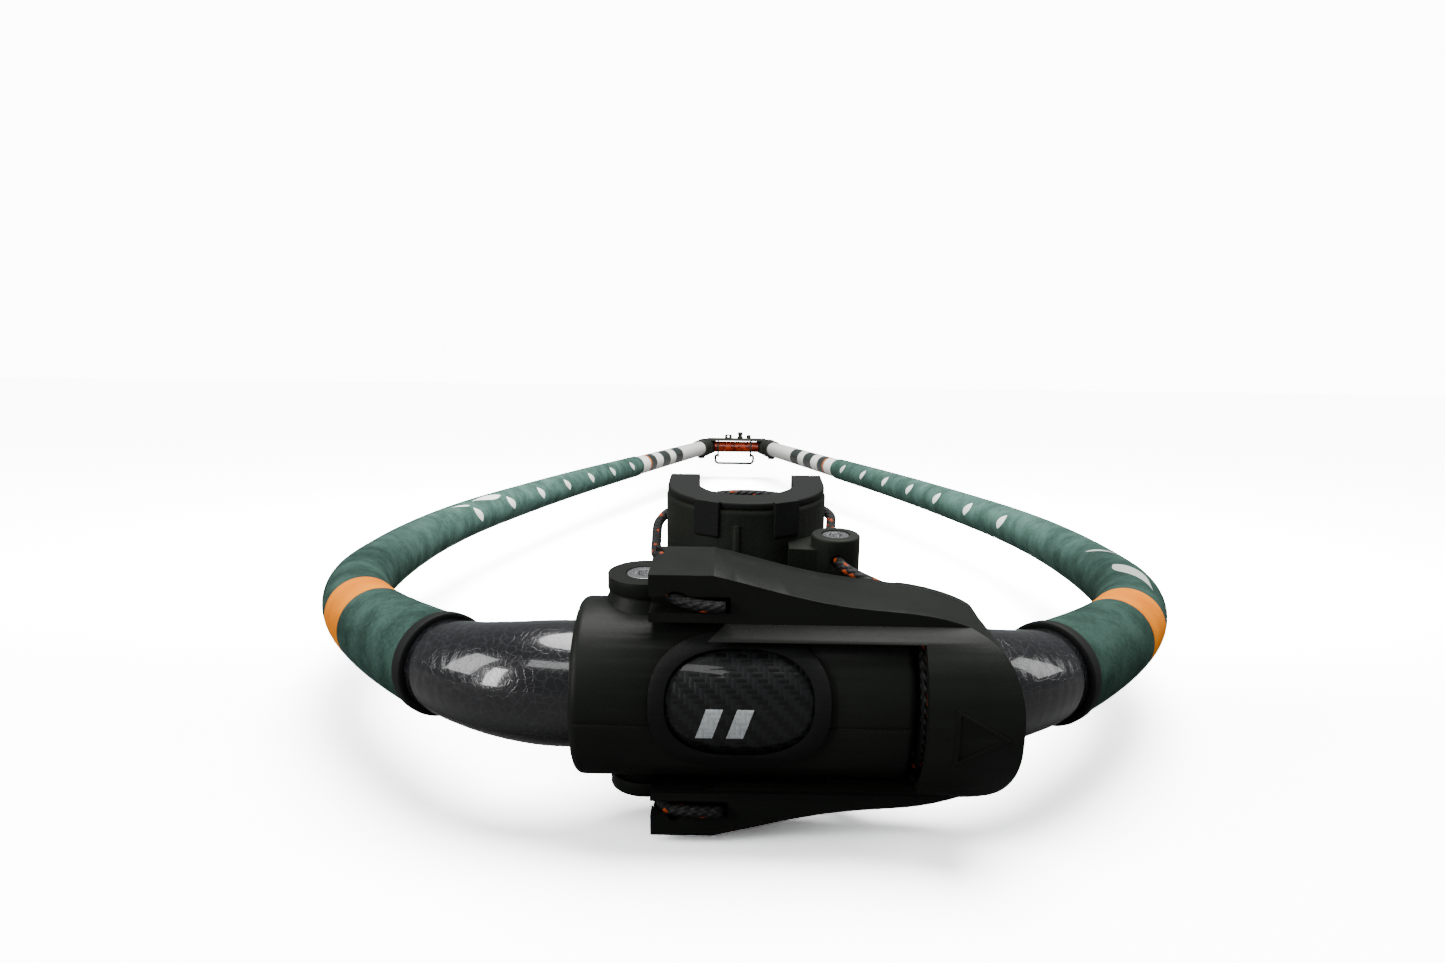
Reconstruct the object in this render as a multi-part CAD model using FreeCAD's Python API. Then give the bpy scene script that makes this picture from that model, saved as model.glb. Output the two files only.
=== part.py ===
import FreeCAD, Part
import os
from math import cos, pi, radians, sin, tan

os.makedirs("parts", exist_ok=True)

# A wishbone boom for windsurfing, in millimetres. It is drawn with the front tube's axis on X at
# y = z = 0, and moved at the end so that the mast clamp's axis passes through the origin.

# Frame outline: a straight middle, then arcs as (radius, degrees of turn), then straight rear arms
front_straight = 78.0
frame_arcs = [(88.0, 45.0), (500.0, 10.0), (320.0, 27.0), (1250.0, 15.0), (6000.0, 4.0)]
spigot_length = 50.0
arm_length = 514.0
tube_wall = 1.5
arm_wall = 1.3
arm_radius = 14.5

# Tube and grip radii along the centreline, as (distance from the middle, radius)
head_radius = 27.0
tube_profile = [(60, 27.0), (84, 27.0), (105, 25.2), (125, 22.9), (150, 20.8), (190, 19.8), (260, 18.2),
                (372, 16.4), (520, 15.4), (760, 14.6), (900, 14.5), (1400, 14.5)]
grip_profile = [(100, 23.9), (130, 23.4), (150, 23.1), (190, 22.2), (260, 20.6), (372, 18.8), (520, 17.7),
                (760, 16.7), (1000, 16.2), (1400, 15.9)]
grip_start = 150.0
band_start = 230.0
band_end = 268.0
grip_end = 1270.0
grip_ring_length = 6.0
grip_ring_rise = 0.9
grip_overlap = 20.0

# Telescoping rear end
leg_radius = 12.9
leg_wall = 1.5
leg_insert = 450.0
collar_length = 46.0
collar_wall = 2.4
collar_rim = 1.6
lock_pin_radius = 2.5
lock_pin_fit = 0.2
lock_pin_head = 6.5
lock_pin_back = 22.0
hole_pitch = 25.0
hole_count = 16
socket_gap = 3.0
socket_length = 56.0
socket_wall = 4.0
cross_radius = 11.0
cross_wall = 2.0
cross_half = 45.5
bridge_thick = 4.5
bridge_depth = 40.0
roller_radius = 6.0
roller_waist = 3.6
roller_height = 11.0
roller_pin_radius = 2.0
roller_x = 8.0
cleat_x = -17.0
horn_x = 26.0
spin_fit = 0.05
bail_radius = 2.4
bail_centre = -4.0
bail_half_width = 40.0
bail_pivot_z = -18.0
bail_drop = 17.0
bail_stub = 8.0
bail_fit = 0.08
clip_wall = 1.8
clip_width = 3.4
side_play = 0.4

# Head: sleeve, mast cup and clamp lever, upright in their own frame and then tilted forward
head_tilt = 8.0
sleeve_left = -72.0
sleeve_right = 68.0
sleeve_radius = 38.0
sleeve_wall = 4.0
sleeve_lip = 6.0
tube_fit = 0.06
parting_groove = 0.5
badge_half = (36.4, 28.0)
badge_ring = 6.4
badge_rise = 2.2
badge_seat = 2.4
badge_turn = 14.0
badge_fullness = 2.5
badge_x = -3.0
mast_radius = 24.0
mast_back = 88.5
liner_wall = 9.0
cup_wall = 7.2
cup_half_height = 66.0
cup_straight = 20.0
liner_flange = 3.0
liner_tab_drop = 15.0
saddle_half_width = 27.0
saddle_half_height = 36.0
boss_at = (42.0, 48.0)
boss_radius = 11.5
boss_top = 55.0
boss_bottom = 36.0
cup_bolt_at = (16.0, 24.0)
cup_bolt_radius = 3.0
line_radius = 2.5
line_bend = 0.45
line_hole_fit = 0.5
line_bolt_radius = 4.0
line_bolt_head = 6.6
pivot_at = (-44.0, 6.0)
pivot_radius = 5.0
pivot_fit = 0.05
pivot_bush_wall = 1.5
pivot_boss_radius = 14.5
pivot_boss_base = 24.0
pivot_boss_top = 42.6
eye_radius = 16.0
eye_gap = 0.4
eye_top = 49.2
eye_head_radius = 8.0
eye_head_height = 3.0

# Clamp lever: its outline seen from the front, upper half, as (across, up)
lever_top = [(-14.0, 58.5), (2.0, 54.5), (24.0, 49.0), (50.0, 45.0), (72.0, 42.8), (90.0, 38.0),
             (101.0, 31.5), (106.5, 21.0), (108.5, 6.0)]
lever_left = -40.0
lever_chin = (-20.0, 36.0)
lever_clear = 0.4
lever_lip = 33.0
lever_skin = 7.0
lever_brow = -24.0
lever_rear = 14.0
cap_left = 75.0
window_right = 71.0
cap_tube_clear = 6.5
slot_bottom = 42.4
slot_top = 49.4
slot_back = -11.0
slot_right = -7.0
roof_bottom = 55.6
tunnel_clear = 1.9
tunnel_reach = 2.0
swing_radius = 46.0
line_gap_clear = 2.5
arrow_size = 12.0
arrow_width = 2.2
arrow_rise = 0.7

up = FreeCAD.Vector(0, 0, 1)
across = FreeCAD.Vector(1, 0, 0)
along = FreeCAD.Vector(0, 1, 0)
middle = FreeCAD.Vector(0, 0, 0)


def vec(x, y, z=0.0):
    return FreeCAD.Vector(x, y, z)


def rod(start, end, radius):
    """A cylinder between two points."""
    return Part.makeCylinder(radius, (end - start).Length, start, end - start)


def block(x0, x1, y0, y1, z0, z1):
    return Part.makeBox(x1 - x0, y1 - y0, z1 - z0, vec(x0, y0, z0))


def prism(points, direction):
    """A closed outline of straight sides, extruded."""
    return Part.Face(Part.makePolygon([*points, points[0]])).extrude(direction)


def fused(shapes):
    first = shapes[0]
    return first.fuse(shapes[1:]).removeSplitter() if len(shapes) > 1 else first


def mirrored(shape):
    return shape.mirror(middle, across)


def upside_down(shape):
    return shape.mirror(middle, up)


def rounded(shape, radius, wanted):
    """The shape with a fillet on each edge that the test picks."""
    edges = [edge for edge in shape.Edges if wanted(edge)]
    return shape.makeFillet(radius, edges) if edges else shape


def softened(cylinder, radius):
    """A cylinder with both end edges rounded."""
    return rounded(cylinder, radius, lambda e: e.isClosed() and e.Length > radius)


def level(profile, distance):
    """A radius read from a profile, with a smooth slope through its points."""
    slopes = [0.0]
    for (s0, r0), (s2, r2) in zip(profile, profile[2:]):
        slopes.append((r2 - r0) / (s2 - s0))
    slopes.append(0.0)
    for i, ((s0, r0), (s1, r1)) in enumerate(zip(profile, profile[1:])):
        if distance <= s1:
            span = s1 - s0
            t = (distance - s0) / span
            ends = (1 + 2 * t) * (1 - t) ** 2 * r0 + t * t * (3 - 2 * t) * r1
            return ends + span * (t * (1 - t) ** 2 * slopes[i] - t * t * (1 - t) * slopes[i + 1])
    return profile[-1][1]


# Distances along the centreline, from the middle of the front tube
arm_shown = grip_end - grip_overlap
arm_from = arm_shown - spigot_length
arm_end = arm_shown + arm_length


def place_at(distance):
    """The centreline's point and heading on the right-hand side at a distance from the middle."""
    point, heading = vec(min(distance, front_straight), 0), 0.0
    left = distance - front_straight
    for radius, turn in frame_arcs:
        if left <= 0:
            break
        ahead = heading + min(radians(turn), left / radius)
        point += vec(radius * (sin(ahead) - sin(heading)), radius * (cos(heading) - cos(ahead)))
        left -= radius * radians(turn)
        heading = ahead
    direction = vec(cos(heading), sin(heading))
    return point + direction * max(left, 0), direction


def ring_at(distance, radius):
    point, direction = place_at(distance)
    return Part.Wire(Part.makeCircle(radius, point, direction))


def stations(start, end):
    """Distances for a loft: close together round the front bend, wide apart behind it."""
    marks = [start]
    while marks[-1] < end:
        pitch = 12 if marks[-1] < 240 else 30 if marks[-1] < 480 else 80
        marks.append(marks[-1] + pitch)
    marks[-1] = end
    if len(marks) > 2 and marks[-1] - marks[-2] < 10:
        marks.pop(-2)
    return marks


def bent_bar(profile, start, end, inset=0.0):
    """A solid bar on the centreline with the profile's radius, less an inset."""
    rings = [ring_at(s, level(profile, s) - inset) for s in stations(start, end)]
    return Part.makeLoft(rings, True, False)


def straight_bar(start, end, radius):
    first, last = place_at(start)[0], place_at(end)[0]
    return rod(first, last, radius)


def make_front_tube():
    """The carbon front bend and both arms, one hollow moulding."""
    half = bent_bar(tube_profile, front_straight, arm_shown)
    bore = bent_bar(tube_profile, front_straight, arm_shown, tube_wall)
    half = half.cut(bore)
    centre = rod(vec(-front_straight, 0), vec(front_straight, 0), head_radius)
    centre = centre.cut(rod(vec(-front_straight, 0), vec(front_straight, 0), head_radius - tube_wall))
    return centre.fuse([half, mirrored(half)])


def make_grips():
    """The right grip's three stretches and the ring at its front end."""
    tube = bent_bar(tube_profile, front_straight, grip_end + 5)
    arm = straight_bar(arm_shown, grip_end + 5, arm_radius)
    cover = {
        "grip_front": (grip_start, band_start),
        "grip_band": (band_start, band_end),
        "grip_rear": (band_end, grip_end),
    }
    parts = {}
    for name, (start, end) in cover.items():
        parts[name] = bent_bar(grip_profile, start, end).cut([tube, arm])
    raised = [(s, r + grip_ring_rise) for s, r in grip_profile]
    parts["grip_ring"] = bent_bar(raised, grip_start - grip_ring_length, grip_start).cut(tube)
    return parts


def make_rear_arm():
    """A straight tube with a reduced front end that plugs into the carbon arm."""
    spigot = straight_bar(arm_from, arm_shown, arm_radius - tube_wall)
    spigot = spigot.cut(straight_bar(arm_from, arm_shown, arm_radius - tube_wall - arm_wall))
    body = straight_bar(arm_shown, arm_end, arm_radius)
    neck = arm_shown + 3
    body = body.cut(straight_bar(neck, arm_end, arm_radius - arm_wall))
    body = body.cut(straight_bar(arm_shown, neck, arm_radius - tube_wall - arm_wall))
    return fused([spigot, body]).cut(lock_hole())


def lock_place():
    return place_at(arm_end - lock_pin_back)[0]


def lock_hole():
    point = lock_place()
    return rod(point, point - up * 40, lock_pin_radius + lock_pin_fit)


def make_collar():
    """The moulded collar on the arm's mouth, with a rim at its open end."""
    radius = arm_radius + collar_wall
    body = softened(straight_bar(arm_end - collar_length, arm_end, radius), 1.0)
    rim = softened(straight_bar(arm_end - 7, arm_end, radius + collar_rim), 1.0)
    pad = rod(lock_place(), lock_place() - up * (radius + 1.2), lock_pin_head + 1)
    body = body.fuse([rim, pad])
    return body.cut(straight_bar(arm_end - collar_length, arm_end, arm_radius)).cut(lock_hole())


def make_lock_pin():
    """A push pin: a flat head under the collar and a stem into the leg's hole."""
    radius = arm_radius + collar_wall + 1.2
    point = lock_place()
    stem = rod(point - up * (leg_radius - 2.5), point - up * radius, lock_pin_radius)
    head = rod(point - up * radius, point - up * (radius + 3.0), lock_pin_head)
    head = rounded(head, 1.0, lambda e: e.CenterOfMass.z < -radius - 2)
    return fused([stem, head])


def make_leg():
    """A telescoping leg with a row of holes for the lock pin."""
    start = arm_end - leg_insert
    end = arm_end + socket_gap + socket_length - 6
    leg = straight_bar(start, end, leg_radius).cut(straight_bar(start, end, leg_radius - leg_wall))
    for i in range(hole_count):
        point = place_at(arm_end - lock_pin_back - i * hole_pitch)[0]
        leg = leg.cut(rod(point, point - up * 30, lock_pin_radius + lock_pin_fit))
    return leg


def socket_y():
    return place_at(arm_end + socket_gap + socket_length * 0.55)[0].y


def make_tail_body():
    """Two leg sockets joined by a bridge, with a cleat block and a horn on top."""
    start = arm_end + socket_gap
    radius = leg_radius + socket_wall
    socket = softened(straight_bar(start, start + socket_length, radius), 1.5)
    socket = socket.fuse(softened(straight_bar(start, start + 7, radius + 1.2), 1.0))
    bore = straight_bar(start, start + socket_length - 6, leg_radius)
    y = socket_y()
    top = radius + 0.6
    reach = place_at(start + socket_length / 2)[0].x
    bridge = block(-reach, reach, y - bridge_depth / 2, y + bridge_depth / 2, top - bridge_thick, top)
    bridge = rounded(bridge, 1.5, lambda e: abs(e.CenterOfMass.z - top) < 0.1)
    cleat = block(cleat_x - 7.5, cleat_x + 7.5, y - 9, y + 9, top - 1, top + 8)
    cleat = rounded(cleat, 2.0, lambda e: e.CenterOfMass.z > top + 3)
    cleat = cleat.cut(rod(vec(cleat_x, y - 20, top + 4), vec(cleat_x, y + 20, top + 4), 2.2))
    horn = rod(vec(horn_x, y, top - 1), vec(horn_x, y, top + 8), 4.5)
    horn = rounded(horn, 2.5, lambda e: e.CenterOfMass.z > top + 7)
    body = fused([socket, mirrored(socket), bridge, cleat, horn]).cut([bore, mirrored(bore)])
    body = body.cut(rod(vec(-cross_half, y), vec(cross_half, y), cross_radius))
    pin_at = vec(roller_x, y, top - bridge_thick)
    return body.cut(rod(pin_at, pin_at + up * bridge_thick, roller_pin_radius))


def roller_base():
    return leg_radius + socket_wall + 0.6


def make_cross_tube():
    y = socket_y()
    tube = rod(vec(-cross_half, y), vec(cross_half, y), cross_radius)
    return tube.cut(rod(vec(-cross_half, y), vec(cross_half, y), cross_radius - cross_wall))


def make_roller():
    """A waisted line roller that turns on its pin."""
    y, low = socket_y(), roller_base() + side_play
    flange = 2.0
    outline = [vec(0, 0, 0), vec(roller_radius, 0, 0), vec(roller_radius, 0, flange),
               vec(roller_waist, 0, roller_height / 2), vec(roller_radius, 0, roller_height - flange),
               vec(roller_radius, 0, roller_height), vec(0, 0, roller_height)]
    wheel = Part.Face(Part.makePolygon([*outline, outline[0]])).revolve(middle, up, 360)
    wheel.translate(vec(roller_x, y, low))
    bore = rod(vec(roller_x, y, low), vec(roller_x, y, low + roller_height), roller_pin_radius + spin_fit)
    return wheel.cut(bore)


def make_roller_pin():
    y, low = socket_y(), roller_base()
    high = low + roller_height + 2 * side_play
    stem = rod(vec(roller_x, y, low - bridge_thick), vec(roller_x, y, high), roller_pin_radius)
    head = rod(vec(roller_x, y, high), vec(roller_x, y, high + 2), roller_radius - 1.5)
    return fused([stem, head])


def clip_places():
    """Where the two clips stand on the cross tube: just inside the bail's legs."""
    inner = bail_half_width - line_bend * bail_stub - side_play - clip_width / 2
    return (bail_centre - inner, bail_centre + inner)


def make_bail_clips():
    """Two clips round the cross tube, each with a lug that holds one end of the bail."""
    y = socket_y()
    clips = []
    for x in clip_places():
        left, right = x - clip_width / 2, x + clip_width / 2
        ring = rod(vec(left, y), vec(right, y), cross_radius + clip_wall)
        lug = rod(vec(left, y, bail_pivot_z), vec(right, y, bail_pivot_z), bail_radius + clip_wall)
        web = block(left, right, y - 4, y + 4, bail_pivot_z, 0)
        clip = fused([ring, lug, web]).cut(rod(vec(left, y), vec(right, y), cross_radius))
        hole = rod(vec(left, y, bail_pivot_z), vec(right, y, bail_pivot_z), bail_radius + bail_fit)
        clips.append(clip.cut(hole))
    return clips


def make_bail():
    """The wire bail that hangs under the cross tube from its two clips."""
    y, low = socket_y(), bail_pivot_z - bail_drop
    left, right = bail_centre - bail_half_width, bail_centre + bail_half_width
    return line_route([(left + bail_stub, y, bail_pivot_z), (left, y, bail_pivot_z), (left, y, low),
                       (right, y, low), (right, y, bail_pivot_z), (right - bail_stub, y, bail_pivot_z)],
                      bail_radius)


def line_route(points, radius):
    """A line's tube: straight runs with an arc at each corner. It prints each arc's radius."""
    points = [vec(*p) for p in points]
    edges, last, radii = [], points[0], []
    for before, corner, after in zip(points, points[1:], points[2:]):
        back, ahead = (before - corner), (after - corner)
        run = min(back.Length, ahead.Length)
        back.normalize()
        ahead.normalize()
        half_turn = (pi - back.getAngle(ahead)) / 2
        if half_turn < 0.01:
            continue
        bend_radius = line_bend * run / tan(half_turn)
        first, second = corner + back * (line_bend * run), corner + ahead * (line_bend * run)
        inward = (back + ahead)
        inward.normalize()
        centre = corner + inward * (bend_radius / cos(half_turn))
        edges.append(Part.LineSegment(last, first).toShape())
        edges.append(Part.Arc(first, centre - inward * bend_radius, second).toShape())
        last = second
        radii.append(round(bend_radius, 1))
    edges.append(Part.LineSegment(last, points[-1]).toShape())
    wire = Part.Wire(edges)
    start = edges[0]
    circle = Part.Wire(Part.makeCircle(radius, start.valueAt(start.FirstParameter),
                                       start.tangentAt(start.FirstParameter)))
    tube = wire.makePipeShell([circle], True, True)
    print("line", round(wire.Length, 1), "mm, radii", radii, "volume ratio",
          round(tube.Volume / (wire.Length * pi * radius ** 2), 3))
    return tube


def sleeve_blank():
    """The whole sleeve before it is split: outer skin, bush pocket, end lips and badge seat."""
    length = sleeve_right - sleeve_left
    skin = rod(vec(sleeve_left, 0), vec(sleeve_right, 0), sleeve_radius)
    skin = rounded(skin, 4.0, lambda e: e.Length > 2 * pi * sleeve_radius * 0.9)
    pocket = rod(vec(sleeve_left + sleeve_lip, 0), vec(sleeve_right - sleeve_lip, 0), sleeve_radius - sleeve_wall)
    passage = rod(vec(sleeve_left - 1, 0), vec(sleeve_left + length + 1, 0), head_radius + 1.5)
    x, y = pivot_at
    boss = Part.makeCone(pivot_boss_base, pivot_boss_radius, pivot_boss_top - 22, vec(x, y, 22), up)
    boss = boss.common(block(sleeve_left, 0, -60, 34, 0, 60))
    body = skin.fuse([boss, upside_down(boss)])
    body = body.cut([pocket, passage])
    body = body.cut(badge_prism(0).cut(rod(vec(-100, 0), vec(100, 0), sleeve_radius - badge_seat)))
    for side in (1, -1):
        body = body.cut(rod(vec(x, y, side * (sleeve_radius - 2)), vec(x, y, side * 60), pivot_radius))
    return body.cut(cup_bolt_holes())


def badge_prism(inset):
    """The badge's oval, standing out from the sleeve's front."""
    wide, high = badge_half
    points = []
    for i in range(32):
        c, s = cos(i * pi / 16), sin(i * pi / 16)
        reach = (abs(c) ** badge_fullness + abs(s) ** badge_fullness) ** (-1 / badge_fullness)
        points.append(vec((wide - inset) * reach * c, (high - inset) * reach * s))
    oval = Part.BSplineCurve()
    oval.interpolate(points, PeriodicFlag=True)
    solid = Part.Face(Part.Wire(oval.toShape())).extrude(up * 60)
    solid.rotate(middle, across, 90)
    solid.translate(vec(badge_x, 0))
    solid.rotate(middle, across, -badge_turn)
    return solid


def cup_bolt_holes():
    x, z = cup_bolt_at
    bolts = [rod(vec(sx * x, sleeve_radius - 12, sz * z), vec(sx * x, mast_back, sz * z), cup_bolt_radius)
             for sx in (1, -1) for sz in (1, -1)]
    return bolts[0].fuse(bolts[1:])


def make_sleeve_half(side):
    """Upper or lower half, with a narrow groove along the parting line."""
    half = block(-120, 120, -80, 80, 0, 80)
    groove = prism([vec(-120, -80, 0), vec(-120, -sleeve_radius - 1, 0),
                    vec(-120, -sleeve_radius - 1, parting_groove + 1), vec(-120, -80, parting_groove + 1)],
                   across * 240)
    blank = sleeve_blank()
    if side < 0:
        half = upside_down(half)
        groove = upside_down(groove)
    edge = rod(vec(-120, -sleeve_radius, 0), vec(120, -sleeve_radius, 0), parting_groove)
    return blank.common(half).cut([groove, edge])


def make_bush():
    """The rubber bush that grips the front tube."""
    body = rod(vec(sleeve_left + sleeve_lip, 0), vec(sleeve_right - sleeve_lip, 0), sleeve_radius - sleeve_wall)
    return body.cut(rod(vec(sleeve_left, 0), vec(sleeve_right, 0), head_radius + tube_fit))


def make_bezel():
    """The raised oval ring on the sleeve's front."""
    ring = badge_prism(0).cut(badge_prism(badge_ring))
    ring = ring.common(rod(vec(-100, 0), vec(100, 0), sleeve_radius + badge_rise))
    return ring.cut(rod(vec(-100, 0), vec(100, 0), sleeve_radius - badge_seat))


def make_badge():
    """The glossy panel inside the bezel."""
    panel = badge_prism(badge_ring).common(rod(vec(-100, 0), vec(100, 0), sleeve_radius + 0.2))
    return panel.cut(rod(vec(-100, 0), vec(100, 0), sleeve_radius - badge_seat))


def u_prism(radius, low, high, straight):
    """A bar whose plan is a half circle towards the front and straight sides behind it."""
    round_part = rod(vec(0, mast_back, low), vec(0, mast_back, high), radius)
    tail = block(-radius, radius, mast_back, mast_back + straight, low, high)
    front = block(-radius, radius, mast_back - radius, mast_back, low, high)
    return round_part.common(front).fuse(tail).removeSplitter()


def make_cup():
    """The mast cup with its saddle on the sleeve and the line boss on the right."""
    inner = mast_radius + liner_wall
    outer = inner + cup_wall
    shell = u_prism(outer, -cup_half_height, cup_half_height, cup_straight)
    shell = rounded(shell, 3.0, lambda e: abs(abs(e.CenterOfMass.z) - cup_half_height) < 0.1)
    saddle = block(-saddle_half_width, saddle_half_width, 20, mast_back - inner + 2,
                   -saddle_half_height, saddle_half_height)
    saddle = rounded(saddle, 4.0, lambda e: abs(e.CenterOfMass.z) > saddle_half_height - 1)
    bx, by = boss_at
    top = rod(vec(bx, by, boss_bottom), vec(bx, by, boss_top), boss_radius)
    top = rounded(top, 1.2, lambda e: e.CenterOfMass.z > boss_top - 1)
    web = prism([vec(20, by - 6, boss_bottom), vec(bx, by - 8, boss_bottom), vec(bx + 8, by + 6, boss_bottom),
                 vec(36, by + 34, boss_bottom), vec(20, by + 20, boss_bottom)],
                up * (boss_top - boss_bottom - 5.8))
    rib = rod(vec(-5, mast_back - outer, -cup_half_height + 8), vec(-5, mast_back - outer, cup_half_height - 8), 1.6)
    body = shell.fuse([saddle, top, web, upside_down(top), upside_down(web), rib])
    body = body.cut(u_prism(inner, -cup_half_height, cup_half_height, cup_straight + 1))
    body = body.cut(rod(vec(-120, 0), vec(120, 0), sleeve_radius))
    for side in (1, -1):
        hole = rod(vec(bx, by - 20, side * line_level()), vec(bx, by + 30, side * line_level()),
                   line_radius + line_hole_fit)
        bolt = rod(vec(bx, by, side * line_level()), vec(bx, by, side * 70), line_bolt_radius)
        pocket = rod(vec(bx, by, side * (boss_top - 5.5)), vec(bx, by, side * 70), line_bolt_head + 0.3)
        body = body.cut([hole, bolt, pocket])
    x, z = cup_bolt_at
    for sx in (1, -1):
        for sz in (1, -1):
            start = mast_back - inner - 4
            body = body.cut(rod(vec(sx * x, start, sz * z), vec(sx * x, mast_back, sz * z), cup_bolt_radius + 2.2))
    return body.cut(cup_bolt_holes())


def line_level():
    return boss_top - 10.0


def make_liner():
    """The rubber liner with a top and bottom flange and two snap tabs."""
    inner = mast_radius + liner_wall
    outer = inner + cup_wall
    top = cup_half_height
    body = u_prism(inner, -top, top, cup_straight)
    flange = u_prism(outer - 0.6, top, top + liner_flange, cup_straight)
    flange = rounded(flange, 1.2, lambda e: e.CenterOfMass.z > top + liner_flange - 0.1)
    tabs = []
    for angle in (-118, -62):
        tab = block(-6.5, 6.5, -5.0, 0.7, top - liner_tab_drop, top + liner_flange)
        tab = rounded(tab, 2.0, lambda e: abs(e.CenterOfMass.z - top + liner_tab_drop) < 0.1)
        tab.rotate(middle, up, angle - 90)
        reach = outer + 0.3
        tab.translate(vec(reach * cos(radians(angle)), mast_back + reach * sin(radians(angle))))
        tabs.append(tab)
    upper = flange.fuse(tabs)
    body = body.fuse([upper, upside_down(upper)])
    body = body.cut(make_cup_skin())
    bore = rod(vec(0, mast_back, -top - 10), vec(0, mast_back, top + 10), mast_radius)
    mouth = block(-mast_radius, mast_radius, mast_back, mast_back + 60, -top - 10, top + 10)
    return body.cut([bore, mouth])


def make_cup_skin():
    inner = mast_radius + liner_wall
    skin = u_prism(inner + cup_wall, -cup_half_height, cup_half_height, cup_straight)
    skin = rounded(skin, 3.0, lambda e: abs(abs(e.CenterOfMass.z) - cup_half_height) < 0.1)
    return skin.cut(u_prism(inner, -cup_half_height, cup_half_height, cup_straight + 1))


def make_cup_bolts():
    """Four socket screws that pull the cup and both sleeve halves together."""
    inner = mast_radius + liner_wall
    x, z = cup_bolt_at
    head_start = mast_back - inner - 4
    bolts = []
    for sx in (1, -1):
        for sz in (1, -1):
            stem = rod(vec(sx * x, sleeve_radius - 10, sz * z), vec(sx * x, head_start, sz * z), cup_bolt_radius)
            head = rod(vec(sx * x, head_start, sz * z), vec(sx * x, head_start + 4, sz * z), cup_bolt_radius + 2.2)
            bolts.append(fused([stem, head]))
    pocket = rod(vec(-60, 0), vec(60, 0), sleeve_radius - sleeve_wall)
    return [bolt.cut(pocket) for bolt in bolts]


def socket_bolt(x, y, low, high, head_high, radius, head_radius_):
    """An upright cap screw with a hexagon socket in its head."""
    stem = rod(vec(x, y, low), vec(x, y, high), radius)
    head = rod(vec(x, y, high), vec(x, y, head_high), head_radius_)
    head = rounded(head, 0.6, lambda e: e.CenterOfMass.z > head_high - 0.1)
    across_flats = head_radius_ * 0.55
    corners = [vec(x + across_flats * cos(i * pi / 3), y + across_flats * sin(i * pi / 3), head_high - 2.2)
               for i in range(6)]
    return fused([stem, head]).cut(prism(corners, up * 5))


def make_line_bolts():
    x, y = boss_at
    bolt = socket_bolt(x, y, line_level() + line_radius + 0.3, boss_top - 5.5, boss_top - 0.5, line_bolt_radius,
                       line_bolt_head)
    return [bolt, upside_down(bolt)]


def make_pivot_bolts():
    x, y = pivot_at
    bolt = socket_bolt(x, y, sleeve_radius - 1.8, eye_top - eye_head_height + pivot_fit, eye_top - 0.2,
                       pivot_radius, eye_head_radius)
    return [bolt, upside_down(bolt)]


def make_pivot_bushes():
    x, y = pivot_at
    low, high = pivot_boss_top + eye_gap / 2, eye_top - eye_head_height - 0.1
    bush = rod(vec(x, y, low), vec(x, y, high), pivot_radius + pivot_fit + pivot_bush_wall)
    bush = bush.cut(rod(vec(x, y, low), vec(x, y, high), pivot_radius + pivot_fit))
    return [bush, upside_down(bush)]


def lever_blank():
    """The lever's front outline, extruded and trimmed to a round front."""
    curve = Part.BSplineCurve()
    curve.interpolate([vec(x, 0, z) for x, z in lever_top])
    upper = curve.toShape()
    lower = upside_down(upper)
    (x0, z0), (x1, z1) = lever_top[0], lever_top[-1]
    sides = [Part.makeLine(vec(x1, 0, z1), vec(x1, 0, -z1)), Part.makeLine(vec(x0, 0, -z0), vec(lever_left, 0, -z0)),
             Part.makeLine(vec(lever_left, 0, -z0), vec(lever_left, 0, z0)),
             Part.makeLine(vec(lever_left, 0, z0), vec(x0, 0, z0))]
    outline = Part.Wire(Part.__sortEdges__([upper, lower, *sides]))
    reach = sleeve_radius + lever_skin
    blank = Part.Face(outline).extrude(along * (reach + lever_rear))
    blank.translate(vec(0, -reach))
    front = rod(vec(-100, 0), vec(200, 0), reach)
    top = block(-100, 200, lever_brow, lever_rear + 1, -100, 100)
    return blank.common(front.fuse(top))


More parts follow.
